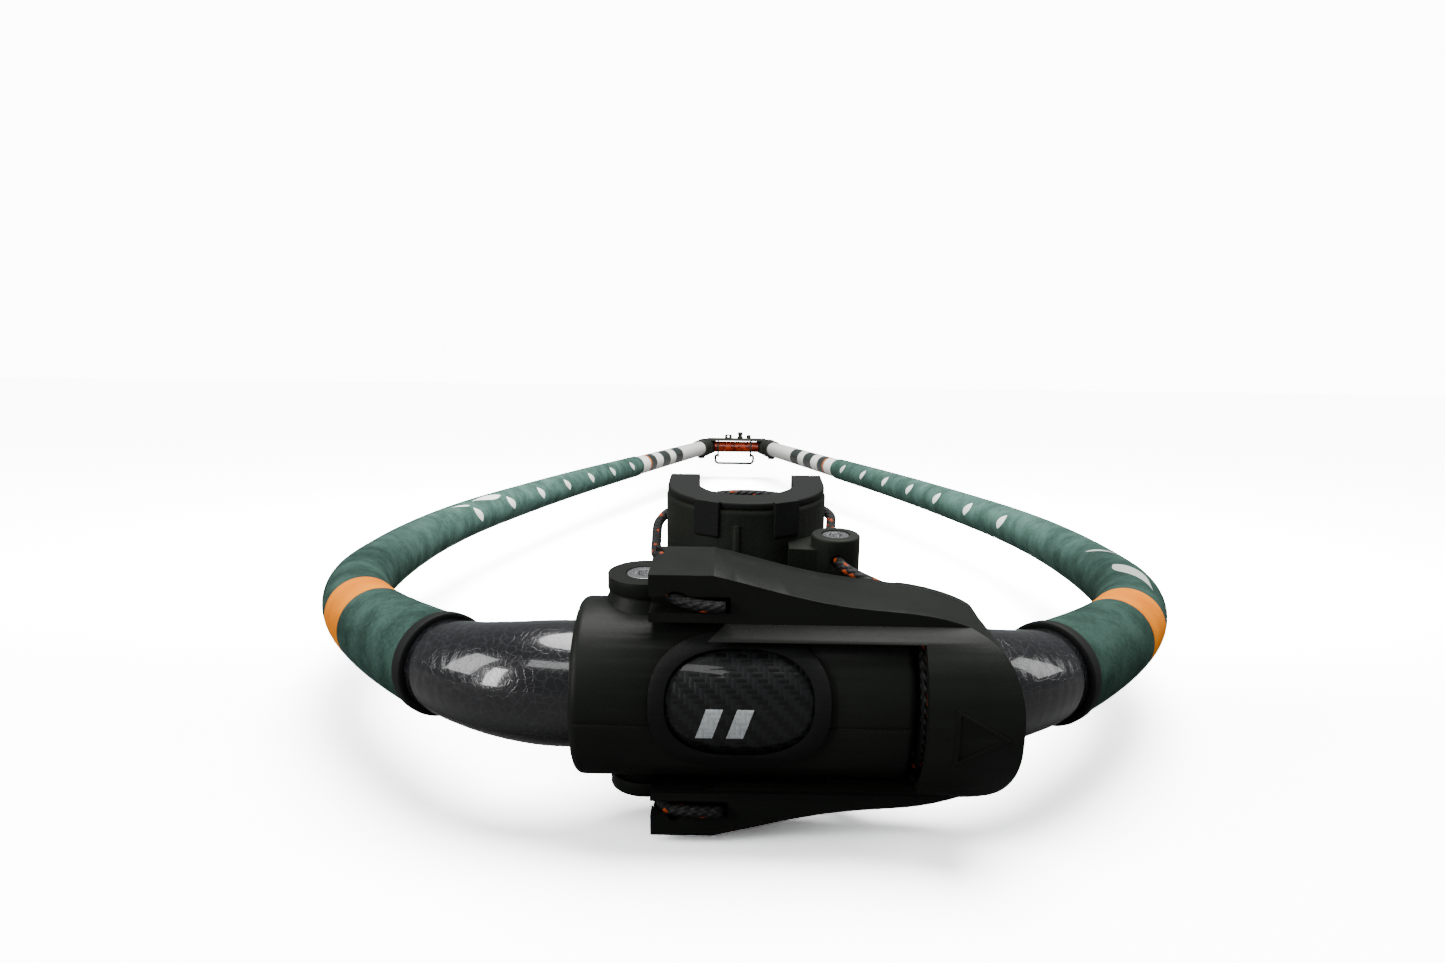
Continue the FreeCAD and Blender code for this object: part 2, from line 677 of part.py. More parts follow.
def make_lever():
    """The clamp lever: two arms joined by a cap in front of the tube."""
    x, y = pivot_at
    blank = lever_blank()
    cuts = [block(-100, window_right, -80, 80, -lever_lip, lever_lip)]
    clear = sleeve_radius + lever_clear
    cuts.append(rod(vec(-100, 0), vec(sleeve_right + 1, 0), clear))
    cuts.append(block(-100, sleeve_right + 1, 0, 80, -clear, clear))
    cuts.append(rod(vec(sleeve_right, 0), vec(cap_left, 0), sleeve_radius + line_gap_clear))
    cuts.append(block(sleeve_right, cap_left, 0, 80, -clear, clear))
    badge_room = rod(vec(badge_x - badge_half[0] - 2, 0), vec(badge_x + badge_half[0] + 2, 0),
                     sleeve_radius + badge_rise + lever_clear)
    cuts.append(badge_room.common(block(-100, 100, -80, 0, -60, 60)))
    tube_clear = head_radius + cap_tube_clear
    cuts.append(rod(vec(60, 0), vec(160, 0), tube_clear))
    cuts.append(block(60, 160, 0, 80, -tube_clear, tube_clear))
    body = blank.cut(cuts)
    chin_x, chin_z = lever_chin
    chin = prism([vec(lever_left - 1, -80, 20), vec(chin_x, -80, 20), vec(chin_x, -80, lever_lip),
                  vec(lever_left - 1, -80, chin_z)], along * 160)
    slot = block(-100, slot_right, -80, slot_back, slot_bottom, slot_top)
    swing = fused([rod(vec(x, y, 0), vec(x, y, sleeve_radius + lever_clear), swing_radius),
                   Part.makeCone(pivot_boss_base + 1.5, pivot_boss_radius + 1.5, pivot_boss_top + eye_gap - 22,
                                 vec(x, y, 22), up)])
    over_eye = rod(vec(x, y, eye_top), vec(x, y, roof_bottom), eye_radius + 3)
    eye = rod(vec(x, y, pivot_boss_top + eye_gap), vec(x, y, eye_top), eye_radius)
    body = body.cut([chin, upside_down(chin), slot, upside_down(slot), swing, upside_down(swing),
                     over_eye, upside_down(over_eye), *line_tunnels()])
    body = body.fuse([eye, upside_down(eye)])
    bores = []
    for side in (1, -1):
        bores.append(rod(vec(x, y, side * 30), vec(x, y, side * 60), pivot_radius + pivot_fit + pivot_bush_wall))
        bores.append(rod(vec(x, y, side * (eye_top - eye_head_height)), vec(x, y, side * 60), eye_head_radius + 0.3))
    return body.cut(bores).fuse(arrow_ring())


def line_tunnels():
    """Room for the rope loop from the lever's slots to its rear."""
    radius = line_radius + tunnel_clear
    tunnels = []
    forward = lever_line()
    for route in (mast_line(1)[1:6], mast_line(-1)[1:6], forward[1:6], forward[-6:-1]):
        points = [vec(*point) for point in route]
        for start, end in zip(points, points[1:]):
            reach = (end - start).normalize() * tunnel_reach
            tunnels.append(rod(start - reach, end + reach, radius))
    return tunnels


def arrow_ring():
    """A raised triangle outline on the cap that points away from the sleeve."""
    skin = sleeve_radius + lever_skin
    centre = cap_left + 15.0

    def triangle(size):
        return prism([vec(centre - 0.7 * size, -80, size), vec(centre - 0.7 * size, -80, -size),
                      vec(centre + 1.1 * size, -80, 0)], along * 60)

    ring = triangle(arrow_size).cut(triangle(arrow_size - arrow_width))
    shell = rod(vec(60, 0), vec(140, 0), skin + arrow_rise).cut(rod(vec(60, 0), vec(140, 0), skin - 1))
    return ring.common(shell)


def mast_line(side):
    """From the lever's slot round the back of the mast to the boss, above or below."""
    back = mast_back + mast_radius + 23.5
    x, y = boss_at
    level_ = side * line_level()
    return [(-9, -26, side * 45.9), (-26, -26, side * 45.9), (-37, -13, side * 51.8),
            (-37, 10, side * 52.8), (-38, 26, side * 51), (-43, 48, side * 43), (-44.8, 76, side * 40.5),
            (-46.4, 109, side * 46), (-19.4, back, side * 51), (19.4, back, side * 51),
            (46.4, 109, side * 49), (43.4, 87, side * 46), (x, y + 18, level_), (x, y + 1, level_)]


def lever_line():
    """From the upper boss round the front tube beside the sleeve to the lower boss."""
    x, y = boss_at
    level_ = line_level()
    upper = [(x, y - 1, level_), (x, y - 17, level_), (53, 19, 42.5), (71.5, 10, 37.4), (71.5, -14, 33),
             (71.5, -33, 14)]
    return [*upper, *[(px, py, -pz) for px, py, pz in reversed(upper)]]


def head_parts():
    return {
        "sleeve_upper": make_sleeve_half(1),
        "sleeve_lower": make_sleeve_half(-1),
        "sleeve_bush": make_bush(),
        "badge_bezel": make_bezel(),
        "badge_panel": make_badge(),
        "mast_cup": make_cup(),
        "cup_liner": make_liner(),
        "cup_bolts": Part.makeCompound(make_cup_bolts()),
        "line_bolts": Part.makeCompound(make_line_bolts()),
        "pivot_bolts": Part.makeCompound(make_pivot_bolts()),
        "pivot_bushes": Part.makeCompound(make_pivot_bushes()),
        "clamp_lever": make_lever(),
        "mast_line_upper": line_route(mast_line(1), line_radius),
        "mast_line_lower": line_route(mast_line(-1), line_radius),
        "lever_line": line_route(lever_line(), line_radius),
    }


def frame_parts():
    parts = {"front_tube": make_front_tube()}
    pairs = {**make_grips(), "rear_arm": make_rear_arm(), "arm_collar": make_collar(),
             "lock_pin": make_lock_pin(), "tail_leg": make_leg()}
    for name, shape in pairs.items():
        parts[name + "_right"] = shape
        parts[name + "_left"] = mirrored(shape)
    return parts


def tail_parts():
    return {
        "tail_body": make_tail_body(),
        "cross_tube": make_cross_tube(),
        "line_roller": make_roller(),
        "roller_pin": make_roller_pin(),
        "bail_clips": Part.makeCompound(make_bail_clips()),
        "tail_bail": make_bail(),
    }


def main():
    mast = vec(0, mast_back * cos(radians(head_tilt)), mast_back * sin(radians(head_tilt)))
    head = head_parts()
    for shape in head.values():
        shape.rotate(middle, across, head_tilt)
    parts = {**frame_parts(), **head, **tail_parts()}
    for name, shape in parts.items():
        shape.translate(mast * -1)
        shape.exportStep(f"parts/{name}.step")
        print(name, len(shape.Solids), round(shape.Volume / 1000, 2), "cm3", shape.isValid())
    print("mast axis", [round(v, 2) for v in mast], "arm end", [round(v, 1) for v in place_at(arm_end)[0]],
          "tail y", round(socket_y(), 1), "bend end", [round(v, 1) for v in place_at(1131)[0]])


main()
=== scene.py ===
import math

import bmesh
import bpy
from mathutils import Matrix, Vector


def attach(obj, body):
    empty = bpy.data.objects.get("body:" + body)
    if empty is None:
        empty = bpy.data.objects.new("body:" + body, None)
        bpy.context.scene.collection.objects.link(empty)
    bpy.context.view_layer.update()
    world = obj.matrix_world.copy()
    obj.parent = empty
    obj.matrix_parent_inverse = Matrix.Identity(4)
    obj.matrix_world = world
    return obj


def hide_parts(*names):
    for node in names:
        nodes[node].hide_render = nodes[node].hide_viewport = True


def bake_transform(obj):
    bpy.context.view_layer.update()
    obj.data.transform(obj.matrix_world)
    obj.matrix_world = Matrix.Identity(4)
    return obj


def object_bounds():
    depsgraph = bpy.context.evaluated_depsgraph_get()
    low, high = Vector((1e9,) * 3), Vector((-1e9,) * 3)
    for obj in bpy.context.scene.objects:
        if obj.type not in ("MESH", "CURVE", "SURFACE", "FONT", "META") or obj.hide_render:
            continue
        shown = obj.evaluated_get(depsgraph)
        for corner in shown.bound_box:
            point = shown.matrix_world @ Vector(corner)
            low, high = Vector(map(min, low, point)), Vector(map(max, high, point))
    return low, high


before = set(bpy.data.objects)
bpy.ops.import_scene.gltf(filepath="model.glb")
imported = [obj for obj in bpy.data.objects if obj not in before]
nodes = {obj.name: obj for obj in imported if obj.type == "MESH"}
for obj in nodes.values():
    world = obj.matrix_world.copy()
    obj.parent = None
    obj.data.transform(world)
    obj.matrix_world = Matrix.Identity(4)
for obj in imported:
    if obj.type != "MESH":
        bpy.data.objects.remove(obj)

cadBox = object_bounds()
mm = 0.001
print("frame loaded:", len(nodes), "nodes")

# the front tube's axis and the head's lean on it, from the mast clamp's axis
head = {"lean": math.radians(8.0), "mastBack": 88.5}
tubeAxis = Vector((0, -math.cos(head["lean"]), -math.sin(head["lean"]))) * head["mastBack"] * mm
headTurn = Matrix.Translation(tubeAxis) @ Matrix.Rotation(head["lean"], 4, "X")

# the frame's centreline in millimetres: a straight middle, then arcs of (radius, degrees)
outline = {
    "straight": 78.0,
    "arcs": [(88.0, 45.0), (500.0, 10.0), (320.0, 27.0), (1250.0, 15.0), (6000.0, 4.0)],
}
# radii in millimetres, as (distance along the centreline, radius)
tubeRadii = [(0, 27.0), (60, 27.0), (84, 27.0), (105, 25.2), (125, 22.9), (150, 20.8), (190, 19.8), (260, 18.2),
             (372, 16.4), (520, 15.4), (760, 14.6), (900, 14.5), (1400, 14.5)]
gripRadii = [(100, 23.9), (130, 23.4), (150, 23.1), (190, 22.2), (260, 20.6), (372, 18.8), (520, 17.7),
             (760, 16.7), (1000, 16.2), (1400, 15.9)]


def headPoint(x, y, z):
    return headTurn @ (Vector((x, y, z)) * mm)


def placeAt(distance):
    # point, heading and outward direction at a signed distance along the centreline
    side = -1 if distance < 0 else 1
    reach = abs(distance)
    point, angle = Vector((min(reach, outline["straight"]), 0, 0)), 0.0
    left = reach - outline["straight"]
    for radius, turn in outline["arcs"]:
        if left <= 0:
            break
        ahead = angle + min(math.radians(turn), left / radius)
        point += Vector((math.sin(ahead) - math.sin(angle), math.cos(angle) - math.cos(ahead), 0)) * radius
        left -= radius * math.radians(turn)
        angle = ahead
    point += Vector((math.cos(angle), math.sin(angle), 0)) * max(left, 0)
    point.x *= side
    outward = Vector((side * math.sin(angle), -math.cos(angle), 0))
    return tubeAxis + point * mm, outward


def radiusAt(profile, distance):
    # a smooth curve through the profile's points
    slopes = [0.0]
    for (s0, r0), (s2, r2) in zip(profile, profile[2:]):
        slopes.append((r2 - r0) / (s2 - s0))
    slopes.append(0.0)
    for i, ((s0, r0), (s1, r1)) in enumerate(zip(profile, profile[1:])):
        if distance <= s1:
            span = s1 - s0
            t = (distance - s0) / span
            ends = (1 + 2 * t) * (1 - t) ** 2 * r0 + t * t * (3 - 2 * t) * r1
            return ends + span * (t * (1 - t) ** 2 * slopes[i] - t * t * (1 - t) * slopes[i + 1])
    return profile[-1][1]


def finishMesh(name, bm, material):
    bmesh.ops.recalc_face_normals(bm, faces=bm.faces)
    for face in bm.faces:
        face.smooth = True
    mesh = bpy.data.meshes.new(name)
    bm.to_mesh(mesh)
    bm.free()
    piece = bpy.data.objects.new(name, mesh)
    bpy.context.collection.objects.link(piece)
    mesh.materials.append(material)
    return piece


def loftRings(bm, rings, along, closed):
    # rings of points joined into quads; the map runs along in metres and around in turns
    uv = bm.loops.layers.uv.new("UVMap")
    verts = [[bm.verts.new(p) for p in ring] for ring in rings]
    count = len(rings[0])
    pairs = list(zip(range(len(rings)), range(1, len(rings))))
    if closed:
        pairs.append((len(rings) - 1, 0))
    for i, j in pairs:
        for k in range(count):
            n = (k + 1) % count
            face = bm.faces.new((verts[i][k], verts[i][n], verts[j][n], verts[j][k]))
            corners = ((i, k), (i, k + 1), (j, k + 1), (j, k))
            for loop, (ring, step) in zip(face.loops, corners):
                loop[uv].uv = (along[ring], step / count - 0.5)
    return verts


def barShell(name, material, start, end, outer, inner, step, around=72, edge=0.5):
    # a hollow bar on the centreline, with its end edges rounded
    marks = [start]
    while marks[-1] < end - 1.5 * step:
        marks.append(marks[-1] + step)
    roundSteps = 3
    quarter = [k * math.pi / (2 * roundSteps) for k in range(roundSteps + 1)]
    # each stop is a distance along the bar and how far the surface is drawn in there
    stops = [(start + edge * (1 - math.cos(a)), edge * (1 - math.sin(a))) for a in quarter]
    stops += [(s, 0.0) for s in marks[1:]]
    stops += [(end - edge * (1 - math.cos(a)), edge * (1 - math.sin(a))) for a in reversed(quarter)]
    sections = [(s, outer(abs(s)) - less) for s, less in stops]
    sections += [(s, inner(abs(s))) for s, less in reversed(stops)]
    rings, along = [], []
    for s, radius in sections:
        centre, outward = placeAt(s)
        ring = []
        for k in range(around):
            a = 2 * math.pi * k / around - math.pi
            ring.append(centre + (outward * math.sin(a) + Vector((0, 0, math.cos(a)))) * radius * mm)
        rings.append(ring)
        along.append(abs(s) * mm)
    bm = bmesh.new()
    loftRings(bm, rings, along, True)
    return finishMesh(name, bm, material)


class Wire:
    # one output in a material's tree; arithmetic on it adds Math nodes
    def __init__(self, tree, socket):
        self.tree = tree
        self.socket = socket

    def add(self, kind, out=0, settings=None, inputs=None):
        node = self.tree.nodes.new("ShaderNode" + kind)
        for key, value in (settings or {}).items():
            setattr(node, key, value)
        for key, value in (inputs or {}).items():
            if isinstance(value, Wire):
                self.tree.links.new(value.socket, node.inputs[key])
            else:
                node.inputs[key].default_value = value
        return Wire(self.tree, node.outputs[out])

    def math(self, operation, *values):
        return self.add("Math", 0, {"operation": operation}, dict(enumerate(values)))

    def absolute(self):
        return self.math("ABSOLUTE", self)

    def floor(self):
        return self.math("FLOOR", self)

    def fraction(self):
        return self.math("FRACT", self)

    def atLeast(self, other):
        return self.math("MAXIMUM", self, other)

    def __add__(self, other):
        return self.math("ADD", self, other)

    def __radd__(self, other):
        return self.math("ADD", other, self)

    def __sub__(self, other):
        return self.math("SUBTRACT", self, other)

    def __rsub__(self, other):
        return self.math("SUBTRACT", other, self)

    def __mul__(self, other):
        return self.math("MULTIPLY", self, other)

    def __rmul__(self, other):
        return self.math("MULTIPLY", other, self)

    def __truediv__(self, other):
        return self.math("DIVIDE", self, other)

    def __gt__(self, other):
        return self.math("GREATER_THAN", self, other)

    def __lt__(self, other):
        return self.math("LESS_THAN", self, other)

    def ramp(self, low, high, toLow=0.0, toHigh=1.0):
        return self.add("MapRange", 0, {"interpolation_type": "SMOOTHSTEP"},
                        {0: self, 1: low, 2: high, 3: toLow, 4: toHigh})

    def mix(self, first, second):
        return self.add("Mix", 2, {"data_type": "RGBA"}, {0: self, 6: first, 7: second})

    def part(self, axis):
        return self.add("SeparateXYZ", axis, None, {0: self})

    def noise(self, scale, detail=3.0, rough=0.55, out=0):
        return self.add("TexNoise", out, None,
                        {"Vector": self, "Scale": scale, "Detail": detail, "Roughness": rough})

    def scaled(self, x, y, z):
        return self.add("VectorMath", 0, {"operation": "MULTIPLY"}, {0: self, 1: (x, y, z)})


def newMaterial(name, colour, roughness, metallic=0.0, coat=0.0, coatRough=0.05, specular=0.5):
    material = bpy.data.materials.new(name)
    material.use_nodes = True
    tree = material.node_tree
    surface = tree.nodes["Principled BSDF"]
    values = {"Base Color": (*colour, 1), "Roughness": roughness, "Metallic": metallic,
              "Coat Weight": coat, "Coat Roughness": coatRough, "Specular IOR Level": specular}
    for key, value in values.items():
        surface.inputs[key].default_value = value
    return material, tree, surface


def coordinates(tree, kind="Object"):
    node = tree.nodes.new("ShaderNodeTexCoord")
    return Wire(tree, node.outputs[kind])


def feed(tree, surface, **wires):
    for key, wire in wires.items():
        tree.links.new(wire.socket, surface.inputs[key.replace("_", " ")])


def bump(height, distance, strength=1.0):
    return height.add("Bump", 0, None, {"Height": height, "Distance": distance, "Strength": strength})


def carbonTube():
    # glossy lacquer over carbon: fine cracks everywhere, ripples towards the grips, dull underneath
    look = {
        "crackScale": 260.0, "crackWidth": 0.08, "crackWander": 0.01,
        "ripplePitch": 0.0052, "rippleFrom": 0.095, "rippleFull": 0.13,
        "dullBelow": (-0.042, -0.02),
        "black": (0.022, 0.023, 0.026, 1), "deep": (0.007, 0.007, 0.008, 1),
        "crackDepth": 0.12, "rippleDepth": 1.3, "grainDepth": 0.5,
    }
    material, tree, surface = newMaterial("carbonTube", (0.006, 0.006, 0.007), 0.2, coat=1.0, coatRough=0.06)
    place, uv = coordinates(tree), coordinates(tree, "UV")
    along = uv.part(0)
    wander = place.noise(60.0, out=1).scaled(*[look["crackWander"]] * 3)
    moved = place.add("VectorMath", 0, {"operation": "ADD"}, {0: place, 1: wander})
    cells = place.add("TexVoronoi", 0, {"feature": "DISTANCE_TO_EDGE"},
                      {"Vector": moved, "Scale": look["crackScale"]})
    cracks = cells.ramp(0.0, look["crackWidth"])
    near = along.ramp(look["rippleFrom"], look["rippleFull"])
    wave = (along / look["ripplePitch"] + uv.part(1) * 2.0 + place.noise(45.0) * 1.6).fraction()
    ripple = (wave - 0.5).absolute() * near
    dust = place.noise(900.0, 2.0)
    height = (cracks * look["crackDepth"] + ripple * look["rippleDepth"]
              + place.noise(240.0, 4.0) * look["grainDepth"])
    under = place.part(2).ramp(*look["dullBelow"], 1.0, 0.0)
    feed(tree, surface,
         Base_Color=cracks.mix(look["black"], look["deep"]),
         Roughness=under * 0.22 + dust * 0.12 + 0.14,
         Coat_Weight=1.0 - under * 0.7,
         Normal=bump(height, 0.0006, 0.45))
    return material


def weavePanel():
    # a 2 by 2 twill with a plain pair of slanted bars as its mark
    look = {
        "tow": 0.0021, "repeat": 4.0, "warp": (0.009, 0.0095, 0.01, 1), "weft": (0.003, 0.003, 0.003, 1),
        "markTilt": 0.35, "markAcross": 0.003, "markDown": 0.0165, "markHalfHeight": 0.0062,
        "barOffset": 0.0062, "barHalfWidth": 0.0034, "mark": (0.52, 0.56, 0.57, 1),
    }
    material, tree, surface = newMaterial("weavePanel", (0.02, 0.02, 0.022), 0.3, coat=0.5, coatRough=0.03,
                                          specular=0.2)
    place = coordinates(tree)
    across, up = place.part(0) / look["tow"], place.part(2) / look["tow"]
    phase = (across.floor() + up.floor()) / look["repeat"]
    warp = phase.fraction() < 0.49
    inX, inZ = across.fraction() - 0.5, up.fraction() - 0.5
    crown = warp * (1.0 - inX * inX * 3.0) + (1.0 - warp) * (1.0 - inZ * inZ * 3.0)
    lit = warp.mix(look["weft"], look["warp"])
    slant = place.part(0) + look["markAcross"] - place.part(2) * look["markTilt"]
    high = (place.part(2) + look["markDown"]).absolute() < look["markHalfHeight"]
    offset = slant.absolute() - look["barOffset"]
    bars = (offset.absolute() < look["barHalfWidth"]) * high
    feed(tree, surface,
         Base_Color=bars.mix(lit, look["mark"]),
         Roughness=0.5 - crown * 0.14,
         Normal=bump(crown, 0.0003, 0.5))
    return material


def foam(name, light, dark, leaves=None):
    # felted foam; leaves are (distance, turn, half length, slope, half width), in metres and turns
    petals = {"first": 0.643, "pitch": 0.0945, "last": 1.23, "turn": -0.19, "lean": 0.6,
              "halfHeight": 0.0078, "halfWidth": 0.0078, "girth": 0.105}
    leafPrint = {"girth": 0.115, "white": (0.50, 0.53, 0.49, 1), "worn": (0.26, 0.36)}
    material, tree, surface = newMaterial(name, light, 0.92, specular=0.08)
    place, uv = coordinates(tree), coordinates(tree, "UV")
    fibres = place.noise(520.0, 5.0, 0.7)
    blotch = place.noise(46.0, 5.0, 0.62)
    shade = (fibres * 0.35 + blotch * 0.65).ramp(0.36, 0.66)
    colour = shade.mix((*dark, 1), (*light, 1))
    if leaves:
        along, turn = uv.part(0), uv.part(1)
        steps = (along - petals["first"]) / petals["pitch"] + 0.5
        run = (steps.fraction() - 0.5) * petals["pitch"]
        rise = (turn - petals["turn"]) * petals["girth"]
        lean = run + rise * petals["lean"]
        level = rise / petals["halfHeight"]
        room = 1.0 - level * level
        start = petals["first"] - petals["pitch"] / 2
        white = (room * petals["halfWidth"] > lean.absolute()) * (along > start) * (along < petals["last"])
        for distance, at, halfLength, slope, halfWidth in leaves:
            t = (along - distance) / halfLength
            gap = (turn - at) * leafPrint["girth"] - (along - distance) * slope
            room = (1.0 - t * t).atLeast(0.0)
            inside = room * (t * 0.45 + 0.55) * halfWidth > gap.absolute()
            white = white.atLeast(inside)
        worn = white * (fibres * 0.5 + blotch * 0.5).ramp(*leafPrint["worn"])
        colour = worn.mix(colour, leafPrint["white"])
    feed(tree, surface, Base_Color=colour, Normal=bump(fibres + blotch * 0.1, 0.0007, 0.4))
    return material


def paintedArm():
    # white lacquer with coloured bands, placed by distance along the arm
    look = {
        "dark": (0.010, 0.018, 0.015, 1), "orange": (0.45, 0.11, 0.008, 1),
        "fresh": (0.93, 0.94, 0.88, 1), "aged": (0.8, 0.81, 0.74, 1),
        "darkBands": [(1.322, 1.352), (1.392, 1.440), (1.478, 1.530)], "orangeBand": (1.313, 1.322),
        "ragged": 0.003,
    }
    material, tree, surface = newMaterial("paintedArm", (0.6, 0.6, 0.55), 0.32, coat=0.5, coatRough=0.12)
    place, uv = coordinates(tree), coordinates(tree, "UV")
    along = uv.part(0) + (place.noise(120.0) - 0.5) * look["ragged"]
    tint = place.noise(38.0, 4.0)
    colour = tint.mix(look["fresh"], look["aged"])
    bands = [(band, look["dark"]) for band in look["darkBands"]] + [(look["orangeBand"], look["orange"])]
    for (start, end), paint in bands:
        colour = ((along > start) * (along < end)).mix(colour, paint)
    feed(tree, surface, Base_Color=colour,
         Roughness=0.25 + tint * 0.2, Normal=bump(place.noise(500.0, 3.0), 0.0003, 0.25))
    return material


def moulding(name, colour, roughness, grain, depth):
    material, tree, surface = newMaterial(name, colour, roughness, specular=0.13)
    place = coordinates(tree)
    fine = place.noise(grain, 4.0, 0.6)
    wear = place.noise(34.0, 5.0, 0.65)
    scuff = place.scaled(1.0, 1.0, 9.0).noise(120.0, 3.0).ramp(0.6, 0.78)
    pale = tuple(min(1.0, c * 1.8 + 0.002) for c in colour)
    feed(tree, surface,
         Base_Color=(wear * 0.55 + scuff * 0.3).mix((*colour, 1), (*pale, 1)),
         Roughness=roughness + (wear - 0.5) * 0.22 + scuff * 0.08,
         Normal=bump(fine, depth, 0.5))
    return material


def glossTube():
    material, tree, surface = newMaterial("glossTube", (0.4, 0.03, 0.002), 0.3, specular=0.12)
    place = coordinates(tree)
    patches = place.noise(95.0, 5.0, 0.7).ramp(0.36, 0.64)
    feed(tree, surface, Base_Color=patches.mix((0.03, 0.0008, 0.0001, 1), (0.24, 0.018, 0.0003, 1)),
         Roughness=0.2 + patches * 0.15, Normal=bump(patches, 0.0004, 0.3))
    return material


def steel():
    material, tree, surface = newMaterial("steel", (0.62, 0.62, 0.63), 0.22, metallic=1.0)
    place = coordinates(tree)
    marks = place.scaled(1.0, 1.0, 0.2).noise(1500.0, 3.0)
    feed(tree, surface, Roughness=0.16 + marks * 0.2, Normal=bump(marks, 0.00008, 0.4))
    return material


def braid():
    look = {"pitch": 0.0042, "strands": 6.0, "flecks": 0.93,
            "black": (0.005, 0.005, 0.005, 1), "orange": (0.42, 0.05, 0.0, 1)}
    material, tree, surface = newMaterial("braid", (0.02, 0.02, 0.02), 0.6, specular=0.3)
    uv = coordinates(tree, "UV")
    along, turn = uv.part(0) / look["pitch"], uv.part(1) * look["strands"]
    left, right = along + turn, along - turn
    inLeft, inRight = left.fraction() - 0.5, right.fraction() - 0.5
    over = (inLeft * inRight) > 0.0
    crown = over * (0.5 - inLeft.absolute()) + (1.0 - over) * (0.5 - inRight.absolute())
    cell = uv.add("CombineXYZ", 0, None, {0: left.floor(), 1: right.floor()})
    pick = uv.add("TexWhiteNoise", 0, {"noise_dimensions": "3D"}, {"Vector": cell})
    feed(tree, surface, Base_Color=(pick > look["flecks"]).mix(look["black"], look["orange"]),
         Normal=bump(crown, 0.0009, 0.9))
    return material


materials = {
    "carbonTube": carbonTube(),
    "weavePanel": weavePanel(),
    "foamRight": foam("foamRight", (0.046, 0.094, 0.076), (0.020, 0.044, 0.035),
                      [(0.325, 0.022, 0.036, -0.25, 0.0105), (0.412, -0.01, 0.014, -0.7, 0.0035)]),
    "foamLeft": foam("foamLeft", (0.050, 0.100, 0.082), (0.018, 0.040, 0.032),
                     [(0.690, -0.055, 0.035, -0.07, 0.008), (0.620, -0.05, 0.018, -0.2, 0.003)]),
    "bandFoam": foam("bandFoam", (0.95, 0.28, 0.0), (0.8, 0.2, 0.0)),
    "paintedArm": paintedArm(),
    "satin": moulding("satin", (0.0075, 0.0085, 0.0068), 0.42, 1400.0, 0.00012),
    "bezel": moulding("bezel", (0.006, 0.006, 0.006), 0.5, 1100.0, 0.00016),
    "grained": moulding("grained", (0.0125, 0.0145, 0.0105), 0.55, 520.0, 0.0005),
    "rubber": moulding("rubber", (0.009, 0.010, 0.009), 0.62, 700.0, 0.0003),
    "greyPlastic": moulding("greyPlastic", (0.45, 0.46, 0.46), 0.4, 900.0, 0.0001),
    "glossTube": glossTube(),
    "steel": steel(),
    "braid": braid(),
}
print("materials made:", len(materials))

# each CAD piece's material and the width of its softened edges in millimetres
dress = {
    "sleeve_upper": ("satin", 0.5), "sleeve_lower": ("satin", 0.5), "sleeve_bush": ("rubber", 0),
    "badge_bezel": ("bezel", 0.5), "badge_panel": ("weavePanel", 0.2), "mast_cup": ("grained", 0.6),
    "cup_liner": ("rubber", 0.5), "cup_bolts": ("steel", 0.2), "line_bolts": ("steel", 0.25),
    "pivot_bolts": ("steel", 0.25), "pivot_bushes": ("greyPlastic", 0), "clamp_lever": ("satin", 1.2),
    "arm_collar_right": ("grained", 0), "arm_collar_left": ("grained", 0), "lock_pin_right": ("grained", 0),
    "lock_pin_left": ("grained", 0), "tail_body": ("grained", 0.4), "cross_tube": ("glossTube", 0),
    "line_roller": ("grained", 0.2), "roller_pin": ("steel", 0.2), "bail_clips": ("grained", 0.3),
    "tail_bail": ("satin", 0),
}


soften = {"weld": 2e-6, "segments": 2, "angle": 38}


def dressNode(name, material, edge):
    piece = nodes[name]
    piece.data.materials.clear()
    piece.data.materials.append(material)
    if edge:
        weld = piece.modifiers.new("weld", "WELD")
        weld.merge_threshold = soften["weld"]
        bevel = piece.modifiers.new("edges", "BEVEL")
        bevel.width = edge * mm
        bevel.segments = soften["segments"]
        bevel.limit_method = "ANGLE"
        bevel.angle_limit = math.radians(soften["angle"])
        bevel.harden_normals = True


for nodeName, (materialName, edgeWidth) in dress.items():
    dressNode(nodeName, materials[materialName], edgeWidth)
print("CAD pieces dressed:", len(dress))

bars = {"gripStart": 150.0, "bandStart": 230.0, "bandEnd": 268.0, "gripEnd": 1270.0, "ringLength": 6.0,
        "ringRise": 0.9, "armShown": 1250.0, "armEnd": 1764.0, "wall": 1.5, "armWall": 1.3, "armRadius": 14.5,
        "legRadius": 12.9, "legInsert": 450.0, "legTail": 53.0, "legBlend": (90, 6)}
sides = (("_right", 1), ("_left", -1))


def tubeOuter(s):
    return radiusAt(tubeRadii, s)


def camel(text):
    first, *rest = text.split("_")
    return first + "".join(word.title() for word in rest)


def signedSpan(sign, start, end):
    return sorted((sign * start, sign * end))


